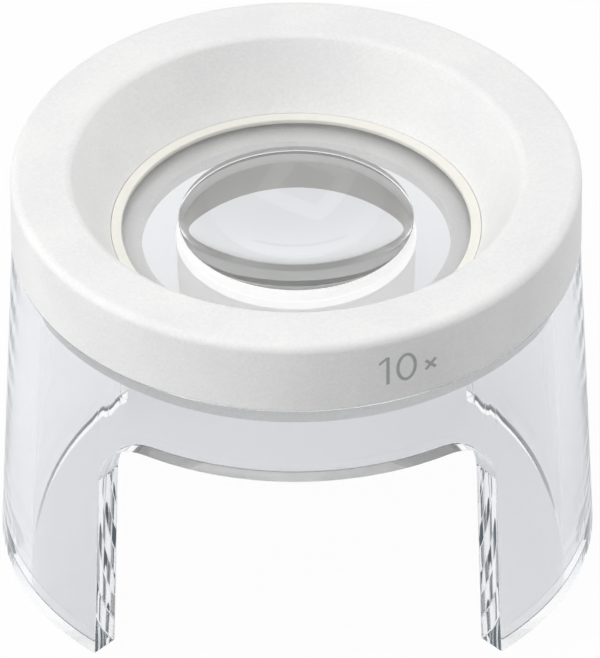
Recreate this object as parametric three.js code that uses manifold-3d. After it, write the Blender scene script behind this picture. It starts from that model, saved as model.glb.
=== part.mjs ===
// Stand magnifier: a clear flared stand with two arch openings, a white hood on top of it,
// a thick clear lens in the middle of the hood, and the ring that keeps the lens in its recess.
// Millimetres, +Z up, the origin on the page under the middle of the lens. The front faces -Y.
import * as THREE from 'three';
import { mergeVertices } from 'three/addons/utils/BufferGeometryUtils.js';
import Module from 'manifold-3d';

const wasm = await Module();
wasm.setup();

// Clear stand
const baseRadius = 30;
const standFlare = 1.3;
const standWall = 3;
const standHeight = 36.2;
const shoulderRound = 0.4;
const archHeight = 27.5;
const archCornerRadius = 6;
const archHalfAngle = THREE.MathUtils.degToRad(43);

// White hood
const hoodHeight = 8.1;
const hoodInset = 0.1;
const hoodTopRound = 0.95;
const hoodFootRound = 0.25;
const hoodWall = 1.8;
const rimWidth = 5.9;
const mouthRound = 1;
const channelWidth = 3.3;
const ledgeWidth = 3.1;
const ledgeThickness = 1.5;
const ledgeDrop = 0.8;
const channelRoof = 3.3;
const spigotDepth = 2.5;
const spigotWall = 1.9;
const spigotClearance = 0.1;
const spigotChamfer = 0.4;

// Lens
const flangeThickness = 1.5;
const flangeClearance = 0.1;
const lensStep = 1.5;
const lensTopVertexRadius = 100;
const lensBottomVertexRadius = 24;
const lensDepth = 4.1;
const barrelClearance = 3.4;
const barrelStep = 0.3;
const barrelTaper = 0.35;
const barrelLength = 7.4;
const skirtWall = 0.35;

// Retaining ring
const ringThickness = 0.5;
const ringWidth = 1;
const ringClearance = 0.1;
const ringRound = 0.15;

// What the cuts reach past the faces that they open
const overrun = 1.5;

// Roundness: faces round a full turn, and steps on each small curve
const turnFaces = 72;
const roundSteps = 4;
const opticSteps = 8;
const archTopSteps = 16;
const cutSteps = 4;

// Places that follow from the sizes
const shoulderRadius = baseRadius - standFlare;
const boreRadius = shoulderRadius - standWall;
const spigotRadius = boreRadius - spigotClearance;
const spigotInner = spigotRadius - spigotWall;
const bossRadius = spigotInner - channelWidth;
const recessRadius = bossRadius - hoodWall;
const ledgeRadius = recessRadius - ledgeWidth;
const barrelNeckRadius = ledgeRadius - barrelClearance;
const lensRadius = barrelNeckRadius - barrelStep;
const hoodRadius = shoulderRadius - hoodInset;
const mouthRadius = hoodRadius - rimWidth;
const hoodTop = standHeight + hoodHeight;
const ledgeHeight = standHeight - ledgeDrop;
const flangeTop = ledgeHeight + flangeThickness;
const funnelFoot = flangeTop + ringThickness;

// One corner of an outline: distance from the axis, height, and an optional rounding.
function corner(radius, height, round = 0) {
  return { at: new THREE.Vector2(radius, height), round };
}

// The points that a corner turns into: itself, or an arc that touches both of its sides.
function cornerPoints(before, here, after) {
  if (here.round === 0) return [here.at.clone()];
  const back = before.at.clone().sub(here.at).normalize();
  const ahead = after.at.clone().sub(here.at).normalize();
  const halfAngle = Math.acos(back.dot(ahead)) / 2;
  const middle = back.clone().add(ahead).normalize();
  const centre = here.at.clone().addScaledVector(middle, here.round / Math.sin(halfAngle));
  const reach = here.round / Math.tan(halfAngle);
  const first = here.at.clone().addScaledVector(back, reach).sub(centre);
  const last = here.at.clone().addScaledVector(ahead, reach).sub(centre);
  const sweep = Math.atan2(first.cross(last), first.dot(last));
  const points = [];
  for (let step = 0; step <= roundSteps; step += 1) {
    const turn = (sweep * step) / roundSteps;
    points.push(first.clone().rotateAround(new THREE.Vector2(), turn).add(centre));
  }
  return points;
}

// A closed outline of corners, with its first point again at the end.
function closedOutline(corners) {
  const points = corners.flatMap((here, index) => {
    const before = corners[(index + corners.length - 1) % corners.length];
    const after = corners[(index + 1) % corners.length];
    return cornerPoints(before, here, after);
  });
  points.push(points[0].clone());
  return points;
}

// Turns an outline round the vertical axis. The outline runs up on the outside and down on the inside.
function turned(points) {
  const geometry = new THREE.LatheGeometry(points, turnFaces);
  geometry.rotateX(Math.PI / 2);
  return geometry;
}

// A geometry as a solid that can be cut.
function toSolid(geometry) {
  const bare = geometry.clone();
  bare.deleteAttribute('normal');
  bare.deleteAttribute('uv');
  const merged = mergeVertices(bare);
  return new wasm.Manifold(new wasm.Mesh({
    numProp: 3,
    vertProperties: merged.attributes.position.array,
    triVerts: new Uint32Array(merged.index.array),
  }));
}

// A cut solid as a geometry with flat faces.
function toGeometry(solid) {
  const mesh = solid.getMesh();
  const geometry = new THREE.BufferGeometry();
  geometry.setAttribute('position', new THREE.BufferAttribute(mesh.vertProperties, 3));
  geometry.setIndex(new THREE.BufferAttribute(mesh.triVerts, 1));
  const flat = geometry.toNonIndexed();
  flat.computeVertexNormals();
  return flat;
}

// The arch opening's outline, unrolled: x is the way round the base circle, y is the height.
function archOutline() {
  const halfWidth = archHalfAngle * baseRadius;
  const springing = archHeight - archCornerRadius;
  const flatHalf = halfWidth - archCornerRadius;
  const points = [new THREE.Vector2(-halfWidth, -overrun), new THREE.Vector2(halfWidth, -overrun)];
  for (let step = 0; step <= roundSteps; step += 1) {
    const turn = (Math.PI / 2) * (step / roundSteps);
    points.push(new THREE.Vector2(
      flatHalf + archCornerRadius * Math.cos(turn),
      springing + archCornerRadius * Math.sin(turn),
    ));
  }
  for (let step = 1; step < archTopSteps; step += 1) {
    points.push(new THREE.Vector2(flatHalf - (2 * flatHalf * step) / archTopSteps, archHeight));
  }
  for (let step = 0; step <= roundSteps; step += 1) {
    const turn = (Math.PI / 2) * (1 + step / roundSteps);
    points.push(new THREE.Vector2(
      -flatHalf + archCornerRadius * Math.cos(turn),
      springing + archCornerRadius * Math.sin(turn),
    ));
  }
  return points;
}

// The arch cutter: the outline rolled round the axis, with sides that point at the axis.
function archCutter() {
  const innerReach = boreRadius - overrun;
  const outerReach = (baseRadius + overrun) / Math.cos(archHalfAngle);
  const geometry = new THREE.ExtrudeGeometry(new THREE.Shape(archOutline()), {
    depth: outerReach - innerReach,
    steps: cutSteps,
    bevelEnabled: false,
  });
  const places = geometry.attributes.position;
  for (let index = 0; index < places.count; index += 1) {
    const angle = places.getX(index) / baseRadius;
    const height = places.getY(index);
    const reach = innerReach + places.getZ(index);
    places.setXYZ(index, reach * Math.sin(angle), -reach * Math.cos(angle), height);
  }
  return geometry;
}

function standGeometry() {
  const ring = turned(closedOutline([
    corner(baseRadius, 0),
    corner(shoulderRadius, standHeight, shoulderRound),
    corner(boreRadius, standHeight),
    corner(boreRadius, standHeight - spigotDepth - spigotChamfer),
    corner(baseRadius - standWall, 0),
  ]));
  const frontArch = toSolid(archCutter());
  const backArch = toSolid(archCutter().rotateZ(Math.PI));
  return toGeometry(toSolid(ring).subtract(frontArch).subtract(backArch));
}

function hoodGeometry() {
  const funnelSlope = (mouthRadius - recessRadius) / (hoodTop - funnelFoot);
  const channelTop = hoodTop - channelRoof;
  const channelBend = bossRadius + (channelTop - funnelFoot) * funnelSlope;
  return turned(closedOutline([
    corner(hoodRadius, standHeight, hoodFootRound),
    corner(hoodRadius, hoodTop, hoodTopRound),
    corner(mouthRadius, hoodTop, mouthRound),
    corner(recessRadius, funnelFoot),
    corner(recessRadius, ledgeHeight),
    corner(ledgeRadius, ledgeHeight),
    corner(ledgeRadius, ledgeHeight - ledgeThickness),
    corner(bossRadius, ledgeHeight - ledgeThickness),
    corner(bossRadius, funnelFoot),
    corner(channelBend, channelTop),
    corner(spigotInner, channelTop),
    corner(spigotInner, standHeight - spigotDepth),
    corner(spigotRadius - spigotChamfer, standHeight - spigotDepth),
    corner(spigotRadius, standHeight - spigotDepth + spigotChamfer),
    corner(spigotRadius, standHeight),
  ]));
}

// How much higher a parabolic face stands at one radius than at its edge radius.
function opticRise(radius, edgeRadius, vertexRadius) {
  return (edgeRadius ** 2 - radius ** 2) / (2 * vertexRadius);
}

function lensGeometry() {
  const flangeRadius = recessRadius - flangeClearance;
  const topEdge = flangeTop + lensStep;
  const barrelFootRadius = barrelNeckRadius - barrelTaper;
  const barrelFoot = ledgeHeight - barrelLength;
  const skirtInner = barrelFootRadius - skirtWall;
  const points = [];
  for (let step = 0; step <= opticSteps; step += 1) {
    const radius = (skirtInner * step) / opticSteps;
    const rise = opticRise(0, radius, lensBottomVertexRadius);
    points.push(new THREE.Vector2(radius, ledgeHeight - lensDepth + rise));
  }
  points.push(new THREE.Vector2(skirtInner, barrelFoot));
  points.push(new THREE.Vector2(barrelFootRadius, barrelFoot));
  points.push(new THREE.Vector2(barrelNeckRadius, ledgeHeight));
  points.push(new THREE.Vector2(flangeRadius, ledgeHeight));
  points.push(new THREE.Vector2(flangeRadius, flangeTop));
  points.push(new THREE.Vector2(lensRadius, flangeTop));
  for (let step = opticSteps; step >= 0; step -= 1) {
    const radius = (lensRadius * step) / opticSteps;
    const rise = opticRise(radius, lensRadius, lensTopVertexRadius);
    points.push(new THREE.Vector2(radius, topEdge + rise));
  }
  return turned(points);
}

function ringGeometry() {
  const outer = recessRadius - ringClearance;
  const inner = outer - ringWidth;
  return turned(closedOutline([
    corner(outer, flangeTop),
    corner(outer, funnelFoot),
    corner(inner, funnelFoot, ringRound),
    corner(inner, flangeTop),
  ]));
}

// Finishes
const whitePlastic = new THREE.MeshStandardMaterial({ color: '#f2f2f0', roughness: 0.45, metalness: 0 });
const creamPlastic = new THREE.MeshStandardMaterial({ color: '#efece0', roughness: 0.4, metalness: 0 });
const clearAcrylic = new THREE.MeshStandardMaterial({
  color: '#e6ebf0',
  roughness: 0.05,
  metalness: 0,
  transparent: true,
  opacity: 0.35,
});
const lensAcrylic = clearAcrylic.clone();
lensAcrylic.color.set('#dfe4ea');

function piece(name, geometry, material) {
  const mesh = new THREE.Mesh(geometry, material);
  mesh.name = name;
  return mesh;
}

const magnifier = new THREE.Group();
magnifier.add(piece('clear_stand', standGeometry(), clearAcrylic));
magnifier.add(piece('hood_ring', hoodGeometry(), whitePlastic));
magnifier.add(piece('lens', lensGeometry(), lensAcrylic));
magnifier.add(piece('lens_retaining_ring', ringGeometry(), creamPlastic));

export default magnifier;
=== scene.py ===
import math

import bmesh
import bpy
from mathutils import Matrix, Vector


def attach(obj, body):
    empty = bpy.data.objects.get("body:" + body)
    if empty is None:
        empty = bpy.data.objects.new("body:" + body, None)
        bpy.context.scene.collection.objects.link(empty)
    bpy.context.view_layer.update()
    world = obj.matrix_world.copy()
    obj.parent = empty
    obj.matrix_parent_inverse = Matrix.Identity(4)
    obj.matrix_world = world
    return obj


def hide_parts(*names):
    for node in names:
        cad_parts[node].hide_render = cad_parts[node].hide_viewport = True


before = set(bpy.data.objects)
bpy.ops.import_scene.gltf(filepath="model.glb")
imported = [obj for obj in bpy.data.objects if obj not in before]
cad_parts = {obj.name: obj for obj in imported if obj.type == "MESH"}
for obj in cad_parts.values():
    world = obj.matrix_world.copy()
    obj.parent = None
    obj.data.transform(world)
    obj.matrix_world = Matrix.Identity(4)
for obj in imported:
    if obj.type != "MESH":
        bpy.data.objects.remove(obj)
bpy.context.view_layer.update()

# Stand magnifier on a pale table: clear stand, white hood, clear lens, cream ring, printed power mark.
# Sizes are in millimetres and are turned to metres where they are used.
mm = 0.001
nearby = 0.01              # mm, places closer than this count as the same
sameRing = 0.004           # mm, the same for the rings of a turned piece, some of which lie close together
weld = 0.0005              # mm, points closer than this are joined
smoothAngle = 35           # degrees, edges sharper than this stay sharp
scene = bpy.context.scene


# Small helpers for modelling

def deselectAll():
    bpy.ops.object.select_all(action="DESELECT")


def makeActive(piece):
    deselectAll()
    piece.select_set(True)
    bpy.context.view_layer.objects.active = piece


def applyModifier(piece, kind, settings):
    # adds one modifier, sets it and applies it
    makeActive(piece)
    modifier = piece.modifiers.new(kind.lower(), kind)
    for key, value in settings.items():
        setattr(modifier, key, value)
    bpy.ops.object.modifier_apply(modifier=modifier.name)


def turnPiece(name, rings, steps):
    # draws one ring of edges and extrudes it from place to place, as on a lathe
    deselectAll()
    radius, height = rings[0]
    bpy.ops.mesh.primitive_circle_add(vertices=steps, radius=radius * mm, location=(0, 0, height * mm))
    piece = bpy.context.object
    piece.name = piece.data.name = name
    bpy.ops.object.transform_apply(location=True, rotation=False, scale=False)
    bpy.ops.object.mode_set(mode="EDIT")
    bpy.ops.mesh.select_mode(type="EDGE")
    bpy.ops.mesh.select_all(action="SELECT")
    for newRadius, newHeight in rings[1:]:
        rise = (newHeight - height) * mm
        bpy.ops.mesh.extrude_edges_move(TRANSFORM_OT_translate={"value": (0, 0, rise)})
        growth = newRadius / radius
        bpy.ops.transform.resize(value=(growth, growth, 1), center_override=(0, 0, 0))
        radius, height = newRadius, newHeight
    return piece


def closeTip(rise):
    # draws the selected ring together to one point on the axis
    bpy.ops.mesh.extrude_edges_move(TRANSFORM_OT_translate={"value": (0, 0, rise * mm)})
    bpy.ops.mesh.merge(type="CENTER")


def bridgeEnds():
    # joins the first ring to the last one
    bpy.ops.mesh.select_all(action="DESELECT")
    bpy.ops.mesh.select_non_manifold()
    bpy.ops.mesh.bridge_edge_loops()


def selectEdges(piece, wanted):
    # selects the edges whose two ends both pass the test, which gets each place in mm
    bpy.ops.mesh.select_all(action="DESELECT")
    bpy.ops.mesh.select_mode(type="EDGE")
    mesh = bmesh.from_edit_mesh(piece.data)
    for edge in mesh.edges:
        edge.select = all(wanted(vertex.co / mm) for vertex in edge.verts)
    bmesh.update_edit_mesh(piece.data)


def roundRings(piece, size):
    # bevels the edge rings that the piece's sizes list: radius, height, length along each face, steps
    for radius, height, offset, steps in size["rounds"]:
        ring = (size[radius], size[height])
        selectEdges(piece, lambda spot: math.dist((spot.xy.length, spot.z), ring) < sameRing)
        bpy.ops.mesh.bevel(offset=offset * mm, segments=steps, affect="EDGES")


def finishPiece(piece, material, nodeName):
    # cleans and shades the mesh, gives it its material, parents it to the root body and hides the CAD node it
    # replaces, if any
    makeActive(piece)
    bpy.ops.object.mode_set(mode="EDIT")
    bpy.ops.mesh.select_all(action="SELECT")
    bpy.ops.mesh.remove_doubles(threshold=weld * mm)
    bpy.ops.mesh.normals_make_consistent(inside=False)
    bpy.ops.object.mode_set(mode="OBJECT")
    bpy.ops.object.shade_smooth_by_angle(angle=math.radians(smoothAngle))
    applyModifier(piece, "WEIGHTED_NORMAL", {"keep_sharp": True})
    piece.data.materials.clear()
    piece.data.materials.append(material)
    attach(piece, "root")
    if nodeName:
        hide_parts(nodeName)


# Small helpers for materials

def fromHex(code):
    # sRGB hex value to linear colour, by the curve of the sRGB standard
    parts = [int(code[at:at + 2], 16) / 255 for at in (1, 3, 5)]
    return [part / 12.92 if part <= 0.04045 else ((part + 0.055) / 1.055) ** 2.4 for part in parts] + [1]


white = fromHex("#FFFFFF")


def addNode(tree, kind, settings=(), links=()):
    # adds a node, sets its properties or inputs, and links sockets into its inputs
    node = tree.nodes.new(kind)
    for key, value in dict(settings).items():
        if isinstance(key, str) and hasattr(node, key):
            setattr(node, key, value)
        else:
            node.inputs[key].default_value = value
    for key, socket in dict(links).items():
        tree.links.new(socket, node.inputs[key])
    return node


def newMaterial(name):
    # an empty material and its tree
    material = bpy.data.materials.new(name)
    material.use_nodes = True
    material.node_tree.nodes.clear()
    return material, material.node_tree


# White hood: ABS moulded against a spark-eroded tool. Opaque white, satin, with a fine grain
hoodFinish = {
    "pale": "#F6F6F5",
    "deep": "#EDEDED",
    "ior": 1.53,
    "roughness": 0.46,
    "roughnessSpread": 0.1,
    "grain": 0.3,          # mm across a grain, drawn coarser than the tool's 0.05 so that it shows
    "grainDetail": 2,
    "patch": 9,            # mm across the slow changes of tone
    "patchDetail": 3,
    "mottleFrom": 0.75,    # grain and patch together, where the deep tone ends
    "mottleTo": 1.25,
    "relief": 0.5,
    "grainHeight": 0.01,   # mm
}

whiteAbs, tree = newMaterial("whiteMouldedAbs")
spot = addNode(tree, "ShaderNodeTexCoord").outputs["Object"]
grain = addNode(tree, "ShaderNodeTexNoise", {
    "Scale": 1 / (hoodFinish["grain"] * mm), "Detail": hoodFinish["grainDetail"]}, {"Vector": spot})
patch = addNode(tree, "ShaderNodeTexNoise", {
    "Scale": 1 / (hoodFinish["patch"] * mm), "Detail": hoodFinish["patchDetail"]}, {"Vector": spot})
mottle = addNode(tree, "ShaderNodeMath", {"operation": "ADD"}, {
    0: grain.outputs["Fac"], 1: patch.outputs["Fac"]})
share = addNode(tree, "ShaderNodeMapRange", {
    "From Min": hoodFinish["mottleFrom"], "From Max": hoodFinish["mottleTo"]}, {"Value": mottle.outputs[0]})
tone = addNode(tree, "ShaderNodeMix", {
    "data_type": "RGBA", 6: fromHex(hoodFinish["deep"]), 7: fromHex(hoodFinish["pale"])}, {
    0: share.outputs[0]})
satin = addNode(tree, "ShaderNodeMapRange", {
    "To Min": hoodFinish["roughness"] - hoodFinish["roughnessSpread"] / 2,
    "To Max": hoodFinish["roughness"] + hoodFinish["roughnessSpread"] / 2}, {"Value": grain.outputs["Fac"]})
relief = addNode(tree, "ShaderNodeBump", {
    "Strength": hoodFinish["relief"], "Distance": hoodFinish["grainHeight"] * mm}, {
    "Height": grain.outputs["Fac"]})
surface = addNode(tree, "ShaderNodeBsdfPrincipled", {"IOR": hoodFinish["ior"]}, {
    "Base Color": tone.outputs[2], "Roughness": satin.outputs[0], "Normal": relief.outputs["Normal"]})
addNode(tree, "ShaderNodeOutputMaterial", links={"Surface": surface.outputs["BSDF"]})

# Retaining ring: natural polystyrene, moulded against a polished tool. Cream and a little glossy
ringFinish = {
    "pale": "#F0EFE8",
    "deep": "#E8E6DC",
    "ior": 1.59,
    "roughness": 0.34,
    "patch": 2.5,          # mm across the flow marks
    "patchDetail": 3,
}

creamStyrene, tree = newMaterial("creamPolystyrene")
spot = addNode(tree, "ShaderNodeTexCoord").outputs["Object"]
patch = addNode(tree, "ShaderNodeTexNoise", {
    "Scale": 1 / (ringFinish["patch"] * mm), "Detail": ringFinish["patchDetail"]}, {"Vector": spot})
tone = addNode(tree, "ShaderNodeMix", {
    "data_type": "RGBA", 6: fromHex(ringFinish["deep"]), 7: fromHex(ringFinish["pale"])}, {
    0: patch.outputs["Fac"]})
surface = addNode(tree, "ShaderNodeBsdfPrincipled", {
    "IOR": ringFinish["ior"], "Roughness": ringFinish["roughness"]}, {"Base Color": tone.outputs[2]})
addNode(tree, "ShaderNodeOutputMaterial", links={"Surface": surface.outputs["BSDF"]})

# Stand and lens: acrylic (PMMA), moulded against polished tools. Clear, faintly tinted in long light paths
acrylicFinish = {
    "ior": 1.491,
    "standRoughness": 0.012,
    "lensRoughness": 0.0,
    "tint": "#D3DEE8",
    "tintPerMetre": 5,
    "lensTint": "#DDE2E2",
    "lensTintPerMetre": 7,
    "hairline": 0.6,       # mm between the faint wiping marks
    "hairlineDetail": 3,
    "hairlineSpread": 0.02,  # what a mark adds to the stand's roughness, and below to the lens's
    "lensHairlineSpread": 0,
    "hairlineFrom": 0.55,  # of the noise, where the marks begin
    "hairlineTo": 0.8,
    "wipeStretch": (1, 1, 0.12),
    "wipeTurn": (0.3, 0.5, 0),
}


def acrylicMaterial(name, roughness, spread, tint, tintPerMetre):
    material, tree = newMaterial(name)
    spot = addNode(tree, "ShaderNodeTexCoord").outputs["Object"]
    wiped = addNode(tree, "ShaderNodeMapping", {
        "Scale": acrylicFinish["wipeStretch"], "Rotation": acrylicFinish["wipeTurn"]}, {"Vector": spot})
    marks = addNode(tree, "ShaderNodeTexNoise", {
        "Scale": 1 / (acrylicFinish["hairline"] * mm), "Detail": acrylicFinish["hairlineDetail"]}, {
        "Vector": wiped.outputs[0]})
    haze = addNode(tree, "ShaderNodeMapRange", {
        "From Min": acrylicFinish["hairlineFrom"], "From Max": acrylicFinish["hairlineTo"],
        "To Min": roughness, "To Max": roughness + spread}, {"Value": marks.outputs["Fac"]})
    surface = addNode(tree, "ShaderNodeBsdfPrincipled", {
        "Base Color": white, "IOR": acrylicFinish["ior"], "Transmission Weight": 1}, {
        "Roughness": haze.outputs[0]})
    inside = addNode(tree, "ShaderNodeVolumeAbsorption", {"Color": fromHex(tint), "Density": tintPerMetre})
    addNode(tree, "ShaderNodeOutputMaterial", links={
        "Surface": surface.outputs["BSDF"], "Volume": inside.outputs["Volume"]})
    return material


standAcrylic = acrylicMaterial(
    "clearMouldedAcrylic", acrylicFinish["standRoughness"], acrylicFinish["hairlineSpread"],
    acrylicFinish["tint"], acrylicFinish["tintPerMetre"])
lensAcrylic = acrylicMaterial(
    "opticalAcrylic", acrylicFinish["lensRoughness"], acrylicFinish["lensHairlineSpread"],
    acrylicFinish["lensTint"], acrylicFinish["lensTintPerMetre"])

# Side of the lens: acrylic moulded against a blasted tool. Frosted: white from outside, where a painted glow,
# an emission, stands in a little for the light that the lens gathers; greyer from inside the lens, a painted
# shade
frostFinishAndPaintedLight = {
    "outside": "#FFFFFF",
    # painted shade: the inside tone is greyer for the shade inside the lens, not for the frost itself
    "inside": "#F4F3F2",
    # painted shade: the grey of the skirt's inside and of the seam's inner face stands in for shade
    "skirt": "#D4D3D1",
    "through": 0.5,        # share of the light that gets through, the rest is scattered back
    "skirtThrough": 0.2,
    "throughSpread": 0.1,
    # painted light: the glows are emission strengths, for light that the lens gathers
    "sidePaintedGlow": 0.42,
    "seamPaintedGlow": 0.65,
    "barrelPaintedGlow": 0.2,
    "skirtPaintedGlow": 0,
    "insidePaintedGlow": 0.09,
    "roughness": 0.6,
    "grain": 0.2,          # mm across a grain
    "grainDetail": 3,
    "relief": 0.4,
    "grainHeight": 0.006,  # mm
}


def frostedMaterial(name, outside, inside, through, glow):
    # the painted glow is an emission; without one outside there is none inside either
    material, tree = newMaterial(name)
    spot = addNode(tree, "ShaderNodeTexCoord").outputs["Object"]
    grain = addNode(tree, "ShaderNodeTexNoise", {
        "Scale": 1 / (frostFinishAndPaintedLight["grain"] * mm), "Detail": frostFinishAndPaintedLight["grainDetail"]}, {"Vector": spot})
    share = addNode(tree, "ShaderNodeMapRange", {
        "To Min": through - frostFinishAndPaintedLight["throughSpread"] / 2,
        "To Max": through + frostFinishAndPaintedLight["throughSpread"] / 2}, {"Value": grain.outputs["Fac"]})
    relief = addNode(tree, "ShaderNodeBump", {
        "Strength": frostFinishAndPaintedLight["relief"], "Distance": frostFinishAndPaintedLight["grainHeight"] * mm}, {
        "Height": grain.outputs["Fac"]})
    # painted shade: faces seen from behind, from inside the lens, take the greyer inside tone
    within = addNode(tree, "ShaderNodeNewGeometry").outputs["Backfacing"]
    tone = addNode(tree, "ShaderNodeMix", {
        "data_type": "RGBA", 6: fromHex(outside), 7: fromHex(inside)}, {0: within})
    scattered = addNode(tree, "ShaderNodeBsdfDiffuse", {"Roughness": frostFinishAndPaintedLight["roughness"]}, {
        "Color": tone.outputs[2], "Normal": relief.outputs["Normal"]})
    passed = addNode(tree, "ShaderNodeBsdfTranslucent", links={
        "Color": tone.outputs[2], "Normal": relief.outputs["Normal"]})
    surface = addNode(tree, "ShaderNodeMixShader", links={
        0: share.outputs[0], 1: scattered.outputs[0], 2: passed.outputs[0]})
    # painted light: an emission on the frost, weaker seen from inside, for the light that the lens gathers
    level = addNode(tree, "ShaderNodeMapRange", {
        "To Min": glow, "To Max": frostFinishAndPaintedLight["insidePaintedGlow"] if glow else 0}, {"Value": within})
    paintedGlow = addNode(tree, "ShaderNodeEmission", {"Color": white}, {"Strength": level.outputs[0]})
    whole = addNode(tree, "ShaderNodeAddShader", links={0: surface.outputs[0], 1: paintedGlow.outputs[0]})
    addNode(tree, "ShaderNodeOutputMaterial", links={"Surface": whole.outputs[0]})
    return material


frostedSidePaintedGlow = frostedMaterial(
    "frostedLensSidePaintedGlow", frostFinishAndPaintedLight["outside"], frostFinishAndPaintedLight["inside"],
    frostFinishAndPaintedLight["through"], frostFinishAndPaintedLight["sidePaintedGlow"])
frostedSeamPaintedGlow = frostedMaterial(
    "frostedLensSeamPaintedGlow", frostFinishAndPaintedLight["outside"], frostFinishAndPaintedLight["inside"],
    frostFinishAndPaintedLight["through"], frostFinishAndPaintedLight["seamPaintedGlow"])
frostedBarrelPaintedGlow = frostedMaterial(
    "frostedLensBarrelPaintedGlow", frostFinishAndPaintedLight["outside"], frostFinishAndPaintedLight["inside"],
    frostFinishAndPaintedLight["through"], frostFinishAndPaintedLight["barrelPaintedGlow"])
# painted shade: grey frost, without glow, on the inner wall of the skirt and of the seam
frostedSkirtPaintedShade = frostedMaterial(
    "frostedSkirtInsidePaintedShade", frostFinishAndPaintedLight["skirt"], frostFinishAndPaintedLight["skirt"],
    frostFinishAndPaintedLight["skirtThrough"], frostFinishAndPaintedLight["skirtPaintedGlow"])

# Power mark: grey pad-printing ink, a thin even film, a little uneven in tone
inkFinish = {
    "pale": "#B9BBBC",
    "deep": "#A3A5A7",
    "roughness": 0.5,
    "patch": 0.25,         # mm across the changes of tone
    "patchDetail": 2,
}

greyInk, tree = newMaterial("greyPadPrintInk")
spot = addNode(tree, "ShaderNodeTexCoord").outputs["Object"]
patch = addNode(tree, "ShaderNodeTexNoise", {
    "Scale": 1 / (inkFinish["patch"] * mm), "Detail": inkFinish["patchDetail"]}, {"Vector": spot})
tone = addNode(tree, "ShaderNodeMix", {
    "data_type": "RGBA", 6: fromHex(inkFinish["deep"]), 7: fromHex(inkFinish["pale"])}, {
    0: patch.outputs["Fac"]})
surface = addNode(tree, "ShaderNodeBsdfPrincipled", {"Roughness": inkFinish["roughness"]}, {
    "Base Color": tone.outputs[2]})
addNode(tree, "ShaderNodeOutputMaterial", links={"Surface": surface.outputs["BSDF"]})
print("materials made")

# Clear stand: the wall is drawn unrolled, cut, thickened and rounded, then bent into a ring and flared
standSize = {
    "baseRadius": 30,
    "shoulderRadius": 28.5,
    "wall": 3,
    "height": 36.2,
    "shoulderRound": 0.06,
    "shoulderSteps": 3,
    "archHeight": 27.5,
    "archCorner": 6,
    "archCornerSteps": 16,
    "archHalfAngle": 43,   # degrees
    "edgeRound": 0.14,
    "edgeSteps": 2,
    "edgeAngle": 50,       # degrees, flatter edges stay as they are
    "flatAngle": 1,        # degrees, faces that differ by less than this are joined
    "columns": 240,
}

halfTurn = math.pi * standSize["baseRadius"]
archMiddle = halfTurn / 2
archHalf = math.radians(standSize["archHalfAngle"]) * standSize["baseRadius"]
archSides = [side * archMiddle + edge * archHalf for side in (-1, 1) for edge in (-1, 1)]

deselectAll()
bpy.ops.mesh.primitive_plane_add(
    size=mm, location=(0, 0, standSize["height"] / 2 * mm), rotation=(math.pi / 2, 0, 0))
stand = bpy.context.object
stand.name = stand.data.name = "standBody"
stand.scale = (2 * halfTurn, standSize["height"], 1)
bpy.ops.object.transform_apply(location=True, rotation=True, scale=True)
bpy.ops.object.mode_set(mode="EDIT")
for side in archSides:
    bpy.ops.mesh.select_all(action="SELECT")
    bpy.ops.mesh.bisect(plane_co=(side * mm, 0, 0), plane_no=(1, 0, 0))
bpy.ops.mesh.select_all(action="SELECT")
bpy.ops.mesh.bisect(plane_co=(0, 0, standSize["archHeight"] * mm), plane_no=(0, 0, 1))
mesh = bmesh.from_edit_mesh(stand.data)
for face in mesh.faces:
    spot = face.calc_center_median() / mm
    face.select = abs(abs(spot.x) - archMiddle) < archHalf and spot.z < standSize["archHeight"]
bmesh.update_edit_mesh(stand.data)
bpy.ops.mesh.delete(type="FACE")
bpy.ops.mesh.select_all(action="SELECT")
bpy.ops.mesh.dissolve_limited(angle_limit=math.radians(standSize["flatAngle"]))

bpy.ops.mesh.select_mode(type="VERT")
bpy.ops.mesh.select_all(action="DESELECT")
mesh = bmesh.from_edit_mesh(stand.data)
for vertex in mesh.verts:
    vertex.select = abs(vertex.co.z / mm - standSize["archHeight"]) < nearby
bmesh.update_edit_mesh(stand.data)
bpy.ops.mesh.bevel(
    offset=standSize["archCorner"] * mm, segments=standSize["archCornerSteps"], affect="VERTICES")

bpy.ops.mesh.select_mode(type="FACE")
bpy.ops.mesh.select_all(action="SELECT")
bpy.ops.mesh.extrude_region_move(TRANSFORM_OT_translate={"value": (0, standSize["wall"] * mm, 0)})
bpy.ops.mesh.select_all(action="DESELECT")
mesh = bmesh.from_edit_mesh(stand.data)
for face in mesh.faces:
    # the two ends that will meet
    face.select = abs(abs(face.calc_center_median().x / mm) - halfTurn) < nearby
bmesh.update_edit_mesh(stand.data)
bpy.ops.mesh.delete(type="ONLY_FACE")
selectEdges(stand, lambda spot: abs(spot.z - standSize["height"]) < nearby and abs(spot.y) < nearby)
bpy.ops.mesh.bevel(
    offset=standSize["shoulderRound"] * mm, segments=standSize["shoulderSteps"], affect="EDGES")
bpy.ops.object.mode_set(mode="OBJECT")
applyModifier(stand, "BEVEL", {
    "width": standSize["edgeRound"] * mm, "segments": standSize["edgeSteps"],
    "limit_method": "ANGLE", "angle_limit": math.radians(standSize["edgeAngle"])})

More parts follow.
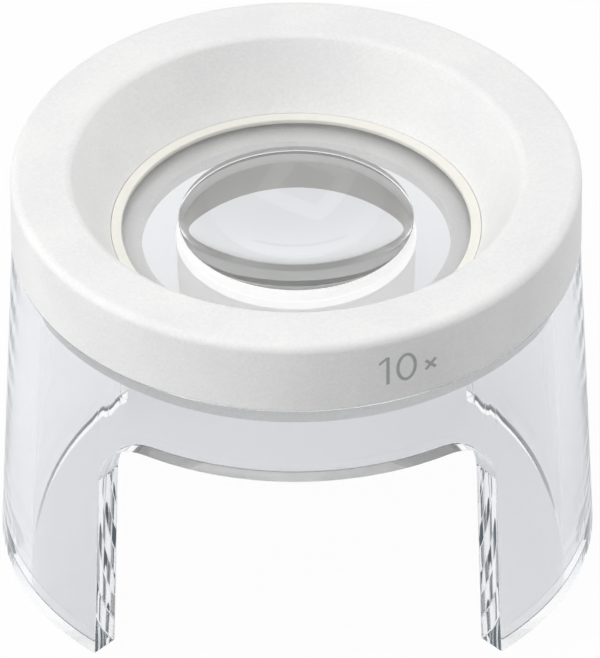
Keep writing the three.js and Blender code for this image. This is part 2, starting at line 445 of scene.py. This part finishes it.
bpy.ops.object.mode_set(mode="EDIT")
for column in range(1, standSize["columns"]):
    across = (2 * column / standSize["columns"] - 1) * halfTurn
    bpy.ops.mesh.select_all(action="SELECT")
    bpy.ops.mesh.bisect(plane_co=(across * mm, 0, 0), plane_no=(1, 0, 0))
bpy.ops.object.mode_set(mode="OBJECT")
applyModifier(stand, "SIMPLE_DEFORM", {"deform_method": "BEND", "deform_axis": "Z", "angle": 2 * math.pi})
bpy.ops.object.mode_set(mode="EDIT")
bpy.ops.mesh.select_all(action="SELECT")
bpy.ops.transform.translate(value=(0, -standSize["baseRadius"] * mm, 0))
bpy.ops.transform.rotate(value=math.pi / 2, orient_axis="Z", center_override=(0, 0, 0))
bpy.ops.object.mode_set(mode="OBJECT")
applyModifier(stand, "SIMPLE_DEFORM", {
    "deform_method": "TAPER", "deform_axis": "Z",
    "factor": standSize["shoulderRadius"] / standSize["baseRadius"] - 1})
finishPiece(stand, standAcrylic, "clear_stand")
print("stand made:", len(stand.data.polygons), "faces")

# White hood: rounded rim, funnel, lens recess with its ledge, cored underside, spigot
hoodSize = {
    "radius": 28.6,
    "top": 44.3,
    "foot": 36.21,         # a hair above the stand's shoulder
    "mouthRadius": 22.7,
    "funnelFoot": 37.4,
    "recessRadius": 18.6,
    "ledge": 35.4,
    "ledgeRadius": 15.5,
    "bossFoot": 33.9,
    "bossRadius": 20.4,
    "channelTop": 41,
    "channelBend": 22.539,  # radius where the wall under the funnel meets the channel's roof
    "spigotInner": 23.7,
    "spigotRadius": 25.6,
    "spigotFoot": 33.1,
    "spigotChamfer": 0.4,
    "steps": 256,
    "rounds": [            # edge rings by radius and height, length taken off along each face, steps
        ("radius", "top", 0.95, 7),
        ("mouthRadius", "top", 0.55, 6),
        ("radius", "foot", 0.25, 3),
        ("recessRadius", "funnelFoot", 0.08, 2),
        ("ledgeRadius", "ledge", 0.12, 2),
        ("ledgeRadius", "bossFoot", 0.2, 2),
        ("bossRadius", "bossFoot", 0.25, 2),
        ("channelBend", "channelTop", 0.3, 2),
        ("spigotInner", "channelTop", 0.3, 2),
        ("spigotInner", "spigotFoot", 0.15, 2),
    ],
}

hood = turnPiece("hoodBody", [
    (hoodSize["radius"], hoodSize["foot"]),
    (hoodSize["radius"], hoodSize["top"]),
    (hoodSize["mouthRadius"], hoodSize["top"]),
    (hoodSize["recessRadius"], hoodSize["funnelFoot"]),
    (hoodSize["recessRadius"], hoodSize["ledge"]),
    (hoodSize["ledgeRadius"], hoodSize["ledge"]),
    (hoodSize["ledgeRadius"], hoodSize["bossFoot"]),
    (hoodSize["bossRadius"], hoodSize["bossFoot"]),
    (hoodSize["bossRadius"], hoodSize["funnelFoot"]),
    (hoodSize["channelBend"], hoodSize["channelTop"]),
    (hoodSize["spigotInner"], hoodSize["channelTop"]),
    (hoodSize["spigotInner"], hoodSize["spigotFoot"]),
    (hoodSize["spigotRadius"] - hoodSize["spigotChamfer"], hoodSize["spigotFoot"]),
    (hoodSize["spigotRadius"], hoodSize["spigotFoot"] + hoodSize["spigotChamfer"]),
    (hoodSize["spigotRadius"], hoodSize["foot"]),
], hoodSize["steps"])
bridgeEnds()
roundRings(hood, hoodSize)
bpy.ops.object.mode_set(mode="OBJECT")
finishPiece(hood, whiteAbs, "hood_ring")
print("hood made:", len(hood.data.polygons), "faces")

# Lens: a flange, a raised top with a weak curve, and a strong curve under it inside a short thin skirt
lensSize = {
    "flangeRadius": 18.5,
    "flangeFoot": 35.42,   # a hair above the ledge
    "flangeTop": 36.9,
    "topRadius": 11.8,
    "topEdge": 38.4,
    "topCurve": 100,       # radius of curvature at the middle
    "neckRadius": 12.1,
    "skirtOuter": 11.75,
    "skirtInner": 11.4,
    "skirtFoot": 28,
    "underTip": 31.3,      # the lowest point of the strong curve
    "underCurve": 24,      # radius of curvature at the middle
    "seamWall": 0.1,       # of the thin frosted tube in the flange
    "seamInset": 0.012,    # from the ends of the tube to the faces of the flange
    "curveRings": 24,
    "steps": 240,
    "rounds": [
        ("topRadius", "topEdge", 0.08, 3),
        ("skirtOuter", "skirtFoot", 0.06, 2),
        ("skirtInner", "skirtFoot", 0.06, 2),
        ("flangeRadius", "flangeTop", 0.08, 2),
    ],
    "uprightLimit": 0.35,  # a face is upright when its normal rises less than this
    "wallReach": 0.1,      # how far past the barrel's walls their faces are looked for
}


def opticRise(radius, curve):
    # how far a parabolic face departs from its middle, at this radius
    return radius ** 2 / (2 * curve)


lensRings = []
for step in range(1, lensSize["curveRings"] + 1):
    radius = lensSize["skirtInner"] * step / lensSize["curveRings"]
    lensRings.append((radius, lensSize["underTip"] + opticRise(radius, lensSize["underCurve"])))
lensRings += [
    (lensSize["skirtInner"], lensSize["skirtFoot"]),
    (lensSize["skirtOuter"], lensSize["skirtFoot"]),
    (lensSize["neckRadius"], lensSize["flangeFoot"]),
    (lensSize["flangeRadius"], lensSize["flangeFoot"]),
    (lensSize["flangeRadius"], lensSize["flangeTop"]),
    (lensSize["topRadius"], lensSize["flangeTop"]),
]
topTip = lensSize["topEdge"] + opticRise(lensSize["topRadius"], lensSize["topCurve"])
for step in range(lensSize["curveRings"], 0, -1):
    radius = lensSize["topRadius"] * step / lensSize["curveRings"]
    lensRings.append((radius, topTip - opticRise(radius, lensSize["topCurve"])))

lens = turnPiece("lensBody", lensRings, lensSize["steps"])
closeTip(topTip - lensRings[-1][1])
bpy.ops.mesh.select_all(action="DESELECT")
bpy.ops.mesh.select_mode(type="EDGE")
bpy.ops.mesh.select_non_manifold()
closeTip(lensSize["underTip"] - lensRings[0][1])
roundRings(lens, lensSize)
bpy.ops.object.mode_set(mode="OBJECT")
finishPiece(lens, lensAcrylic, "lens")
for material in (frostedSidePaintedGlow, frostedBarrelPaintedGlow, frostedSkirtPaintedShade):
    lens.data.materials.append(material)
sideSlot, barrelSlot, skirtSlot = 1, 2, 3
wallReach = lensSize["wallReach"]
for face in lens.data.polygons:
    reach, height = face.center.xy.length / mm, face.center.z / mm
    onWall = lensSize["skirtInner"] - wallReach < reach < lensSize["neckRadius"] + wallReach
    upright = onWall and abs(face.normal.z) < lensSize["uprightLimit"]
    # the skirt's inside takes the grey painted shade, the side and barrel the frost with painted glow
    if upright and reach < lensSize["skirtInner"] + wallReach / 2:
        face.material_index = skirtSlot
    elif upright and height > lensSize["flangeTop"]:
        face.material_index = sideSlot
    elif upright or height < lensSize["skirtFoot"] + wallReach:
        face.material_index = barrelSlot

# the frosted side goes on through the thickness of the flange, as a thin seam inside the lens, with a painted
# glow
seam = turnPiece("lensSeam", [
    (lensSize["neckRadius"] - lensSize["seamInset"], lensSize["flangeFoot"] + lensSize["seamInset"]),
    (lensSize["topRadius"], lensSize["flangeTop"] - lensSize["seamInset"]),
    (lensSize["topRadius"] - lensSize["seamWall"], lensSize["flangeTop"] - lensSize["seamInset"]),
    (lensSize["neckRadius"] - lensSize["seamWall"], lensSize["flangeFoot"] + lensSize["seamInset"]),
], lensSize["steps"])
bridgeEnds()
bpy.ops.object.mode_set(mode="OBJECT")
finishPiece(seam, frostedSeamPaintedGlow, None)
# painted shade: the seam's inner face takes the skirt's grey
seam.data.materials.append(frostedSkirtPaintedShade)
insideSlot = 1
for face in seam.data.polygons:
    if face.normal.xy.dot(face.center.xy) < 0:
        face.material_index = insideSlot
print("lens made:", len(lens.data.polygons), "faces")

# Retaining ring: lies on the lens flange, inside the recess
ringSize = {
    "outer": 18.56,
    "inner": 17.5,
    "foot": 36.94,         # a hair above the flange
    "top": 37.4,
    "steps": 200,
    "rounds": [("inner", "top", 0.15, 4), ("outer", "top", 0.06, 2)],
}

ring = turnPiece("retainingRing", [
    (ringSize["outer"], ringSize["foot"]),
    (ringSize["outer"], ringSize["top"]),
    (ringSize["inner"], ringSize["top"]),
    (ringSize["inner"], ringSize["foot"]),
], ringSize["steps"])
bridgeEnds()
roundRings(ring, ringSize)
bpy.ops.object.mode_set(mode="OBJECT")
finishPiece(ring, creamStyrene, "lens_retaining_ring")
print("ring made:", len(ring.data.polygons), "faces")

# Power mark: the plain figures 1 and 0 and a small times sign, drawn flat and wrapped round the hood
markSize = {
    "stroke": 0.34,        # mm, width of the printed strokes
    "film": 0.02,          # mm, thickness of the ink
    "sunk": 0.008,         # mm of it below the hood's surface, so that it lies on without a gap
    "tall": 3.4,
    "height": 40.2,        # of the middle of the figures
    "oneTurn": 17.6,       # degrees round from the front
    "flagReach": 0.75,
    "flagDrop": 0.55,
    "zeroTurn": 22.3,
    "zeroWidth": 2.2,
    "signTurn": 27.6,
    "signHeight": 39.7,
    "signArm": 0.62,
    "column": 0.35,        # mm between the cuts that let a drawing bend
    "ovalSteps": 72,
}


def drawSheet(name, wide, tall):
    # one upright face that looks to the front, with its middle at the origin
    deselectAll()
    bpy.ops.mesh.primitive_plane_add(size=mm, rotation=(math.pi / 2, 0, 0))
    piece = bpy.context.object
    piece.name = piece.data.name = name
    piece.scale = (wide, tall, 1)
    bpy.ops.object.transform_apply(location=True, rotation=True, scale=True)
    bpy.ops.object.mode_set(mode="EDIT")
    return piece


def wrapMark(piece, turn, height):
    # cuts the flat drawing into columns and rows, bends it to the hood's radius and lays it on the hood
    wide, tall = piece.dimensions.x / mm, piece.dimensions.z / mm
    bpy.ops.object.mode_set(mode="EDIT")
    for direction, reach in (((1, 0, 0), wide), ((0, 0, 1), tall)):
        for cut in range(1, math.ceil(reach / markSize["column"])):
            bpy.ops.mesh.select_all(action="SELECT")
            along = (cut * markSize["column"] - reach / 2) * mm
            bpy.ops.mesh.bisect(plane_co=[along * part for part in direction], plane_no=direction)
    bpy.ops.object.mode_set(mode="OBJECT")
    applyModifier(piece, "SIMPLE_DEFORM", {
        "deform_method": "BEND", "deform_axis": "Z", "angle": wide / hoodSize["radius"]})
    bpy.ops.object.mode_set(mode="EDIT")
    bpy.ops.mesh.select_all(action="SELECT")
    bpy.ops.transform.translate(value=(0, -hoodSize["radius"] * mm, height * mm))
    bpy.ops.transform.rotate(value=-math.radians(turn), orient_axis="Z", center_override=(0, 0, 0))
    bpy.ops.object.mode_set(mode="OBJECT")
    applyModifier(piece, "SHRINKWRAP", {
        "target": hood, "wrap_mode": "OUTSIDE_SURFACE",
        "offset": (markSize["film"] / 2 - markSize["sunk"]) * mm})
    applyModifier(piece, "SOLIDIFY", {"thickness": markSize["film"] * mm, "offset": 0})
    finishPiece(piece, greyInk, None)


# the 1 is a stem with a slanted flag drawn out of its upper left
one = drawSheet("powerOne", markSize["stroke"], markSize["tall"])
flagFoot = markSize["tall"] / 2 - markSize["stroke"]
bpy.ops.mesh.bisect(plane_co=(0, 0, flagFoot * mm), plane_no=(0, 0, 1))
selectEdges(one, lambda spot: spot.x < 0 and spot.z > flagFoot - nearby)
bpy.ops.mesh.extrude_edges_move(TRANSFORM_OT_translate={
    "value": (-markSize["flagReach"] * mm, 0, -markSize["flagDrop"] * mm)})
bpy.ops.mesh.select_all(action="SELECT")
bpy.ops.transform.translate(value=(markSize["flagReach"] / 2 * mm, 0, 0))
bpy.ops.object.mode_set(mode="OBJECT")
wrapMark(one, markSize["oneTurn"], markSize["height"])

# the 0 is an oval with its inside taken out
deselectAll()
bpy.ops.mesh.primitive_circle_add(
    vertices=markSize["ovalSteps"], radius=mm, fill_type="NGON", rotation=(math.pi / 2, 0, 0))
zero = bpy.context.object
zero.name = zero.data.name = "powerZero"
bpy.ops.object.transform_apply(location=True, rotation=True, scale=True)
bpy.ops.object.mode_set(mode="EDIT")
bpy.ops.mesh.select_mode(type="FACE")
bpy.ops.mesh.select_all(action="SELECT")
bpy.ops.transform.resize(
    value=(markSize["zeroWidth"] / 2, 1, markSize["tall"] / 2), center_override=(0, 0, 0))
bpy.ops.mesh.inset(thickness=markSize["stroke"] * mm)
bpy.ops.mesh.delete(type="FACE")
bpy.ops.object.mode_set(mode="OBJECT")
wrapMark(zero, markSize["zeroTurn"], markSize["height"])

# the times sign is four arms drawn out of a small square
sign = drawSheet("powerSign", markSize["stroke"], markSize["stroke"])
middle = markSize["stroke"] / 2
for across, up in ((1, 0), (-1, 0), (0, 1), (0, -1)):
    selectEdges(sign, lambda spot: (
        abs(spot.x * across + spot.z * up - middle) < nearby
        and abs(spot.x * up) + abs(spot.z * across) < middle + nearby))
    bpy.ops.mesh.extrude_edges_move(TRANSFORM_OT_translate={
        "value": (across * markSize["signArm"] * mm, 0, up * markSize["signArm"] * mm)})
bpy.ops.mesh.select_all(action="SELECT")
bpy.ops.transform.rotate(value=math.radians(45), orient_axis="Y", center_override=(0, 0, 0))
bpy.ops.object.mode_set(mode="OBJECT")
wrapMark(sign, markSize["signTurn"], markSize["signHeight"])
print("marks made")

# Table, plain and pale. The camera sees it nearly white, the clear pieces show it a little greyer
tableLook = {
    "size": 8,             # metres
    "drop": 0.02,          # mm under the foot
    "paper": "#E4E4E4",
    "whiteForCamera": 0.96,
    "whiteForGlass": 0.5,
    "coolForGlass": "#F8FAFF",
}

deselectAll()
bpy.ops.mesh.primitive_plane_add(size=tableLook["size"], location=(0, 0, -tableLook["drop"] * mm))
table = bpy.context.object
table.name = table.data.name = "table"
paper, tree = newMaterial("paleTable")
rays = addNode(tree, "ShaderNodeLightPath")
byEye = addNode(tree, "ShaderNodeMath", {"operation": "MULTIPLY", 1: tableLook["whiteForCamera"]}, {
    0: rays.outputs["Is Camera Ray"]})
mirrored = addNode(tree, "ShaderNodeMath", {"operation": "MAXIMUM"}, {
    0: rays.outputs["Is Glossy Ray"], 1: rays.outputs["Is Transmission Ray"]})
whiteness = addNode(tree, "ShaderNodeMath", {"operation": "MULTIPLY_ADD", 1: tableLook["whiteForGlass"]}, {
    0: mirrored.outputs[0], 2: byEye.outputs[0]})
sheet = addNode(tree, "ShaderNodeBsdfDiffuse", {"Color": fromHex(tableLook["paper"])})
cool = addNode(tree, "ShaderNodeMix", {
    "data_type": "RGBA", 6: white, 7: fromHex(tableLook["coolForGlass"])}, {0: mirrored.outputs[0]})
glow = addNode(tree, "ShaderNodeEmission", {"Strength": 1}, {"Color": cool.outputs[2]})
whole = addNode(tree, "ShaderNodeMixShader", links={
    0: whiteness.outputs[0], 1: sheet.outputs[0], 2: glow.outputs[0]})
addNode(tree, "ShaderNodeOutputMaterial", links={"Surface": whole.outputs[0]})
table.data.materials.append(paper)

# Studio light: two soft lamps in one place overhead in front, of which the clear pieces show the wide one,
# one low at the left, one low behind at the right, and a dim sky. Places are in metres, powers in watts
studio = {
    "lamps": [
        {"name": "overheadLamp", "place": (-0.11, -0.191, 0.799), "size": 0.45, "power": 3.4, "seen": False},
        {"name": "wideLamp", "place": (-0.11, -0.191, 0.799), "size": 0.9, "power": 2.8, "seen": True},
        {"name": "leftLamp", "place": (-0.762, -0.134, 0.237), "size": 0.45, "power": 2.6, "seen": False},
        {"name": "rightLamp", "place": (0.669, 0.386, 0.237), "size": 0.45, "power": 2.4, "seen": False},
    ],
    "aim": (0, 0, 0.03),
    "sky": 0.1,
}


def turnTo(place, aim, axis):
    # the turn that points this axis of a thing at that place towards the aim
    return (Vector(aim) - Vector(place)).to_track_quat(axis, "Y").to_euler()


for lamp in studio["lamps"]:
    light = bpy.data.lights.new(lamp["name"], "AREA")
    light.size = lamp["size"]
    light.energy = lamp["power"]
    holder = bpy.data.objects.new(lamp["name"], light)
    scene.collection.objects.link(holder)
    holder.location = lamp["place"]
    holder.rotation_euler = turnTo(lamp["place"], studio["aim"], "-Z")
    holder.visible_glossy = False
    holder.visible_transmission = lamp["seen"]

# Dark card behind the object and out of the picture: the clear pieces show it as thin dark lines
cardSize = {
    "wide": 1.1,           # metres, as all that follows
    "tall": 0.07,
    "place": (-0.042, 0.808, 0.608),
    "aim": (0, 0, 0.02),
    "felt": "#46535A",
}

deselectAll()
bpy.ops.mesh.primitive_plane_add(size=1, location=cardSize["place"])
card = bpy.context.object
card.name = card.data.name = "darkCard"
card.scale = (cardSize["wide"], cardSize["tall"], 1)
card.rotation_euler = turnTo(cardSize["place"], cardSize["aim"], "Z")
felt, tree = newMaterial("darkFelt")
surface = addNode(tree, "ShaderNodeEmission", {"Color": fromHex(cardSize["felt"]), "Strength": 1})
addNode(tree, "ShaderNodeOutputMaterial", links={"Surface": surface.outputs[0]})
card.data.materials.append(felt)
card.visible_camera = card.visible_diffuse = card.visible_shadow = card.visible_glossy = False

# the sky is white to the eye, in reflections and through the clear pieces, and dim as a light
world = bpy.data.worlds.new("studioSky")
scene.world = world
world.use_nodes = True
tree = world.node_tree
tree.nodes.clear()
rays = addNode(tree, "ShaderNodeLightPath")
level = addNode(tree, "ShaderNodeMapRange", {"To Min": 1, "To Max": studio["sky"]}, {
    "Value": rays.outputs["Is Diffuse Ray"]})
sky = addNode(tree, "ShaderNodeBackground", {"Color": white}, {"Strength": level.outputs[0]})
addNode(tree, "ShaderNodeOutputWorld", links={"Surface": sky.outputs[0]})
print("studio made")

# Camera: fitted to the circles of the hood and the foot, with its roll given
shot = {
    "elevation": 38.13,    # degrees
    "roll": -0.25,
    "aim": (0.337, 0, 24.2),
    "distance": 1581,
    "focal": 858.83,
    "sensor": 36,          # mm on the long side
    "clipEnd": 20,         # metres
    "bounces": 32,         # a light path cut short in the clear pieces would show as black
}

elevation, roll = math.radians(shot["elevation"]), math.radians(shot["roll"])
back = Vector((0, -math.cos(elevation), math.sin(elevation)))
right = Vector((1, 0, 0))
up = right.cross(-back)
tiltedRight = math.cos(roll) * right + math.sin(roll) * up
tiltedUp = math.cos(roll) * up - math.sin(roll) * right
camera = bpy.data.cameras.new("camera")
camera.sensor_width = shot["sensor"]
camera.lens = shot["focal"]
camera.clip_end = shot["clipEnd"]
cameraHolder = bpy.data.objects.new("camera", camera)
scene.collection.objects.link(cameraHolder)
cameraHolder.matrix_world = Matrix.Translation((Vector(shot["aim"]) + back * shot["distance"]) * mm) @ Matrix(
    (tiltedRight, tiltedUp, back)).transposed().to_4x4()
scene.camera = cameraHolder
scene.view_settings.view_transform = "Standard"
for kind in ("max_bounces", "transmission_bounces", "glossy_bounces"):
    setattr(scene.cycles, kind, shot["bounces"])
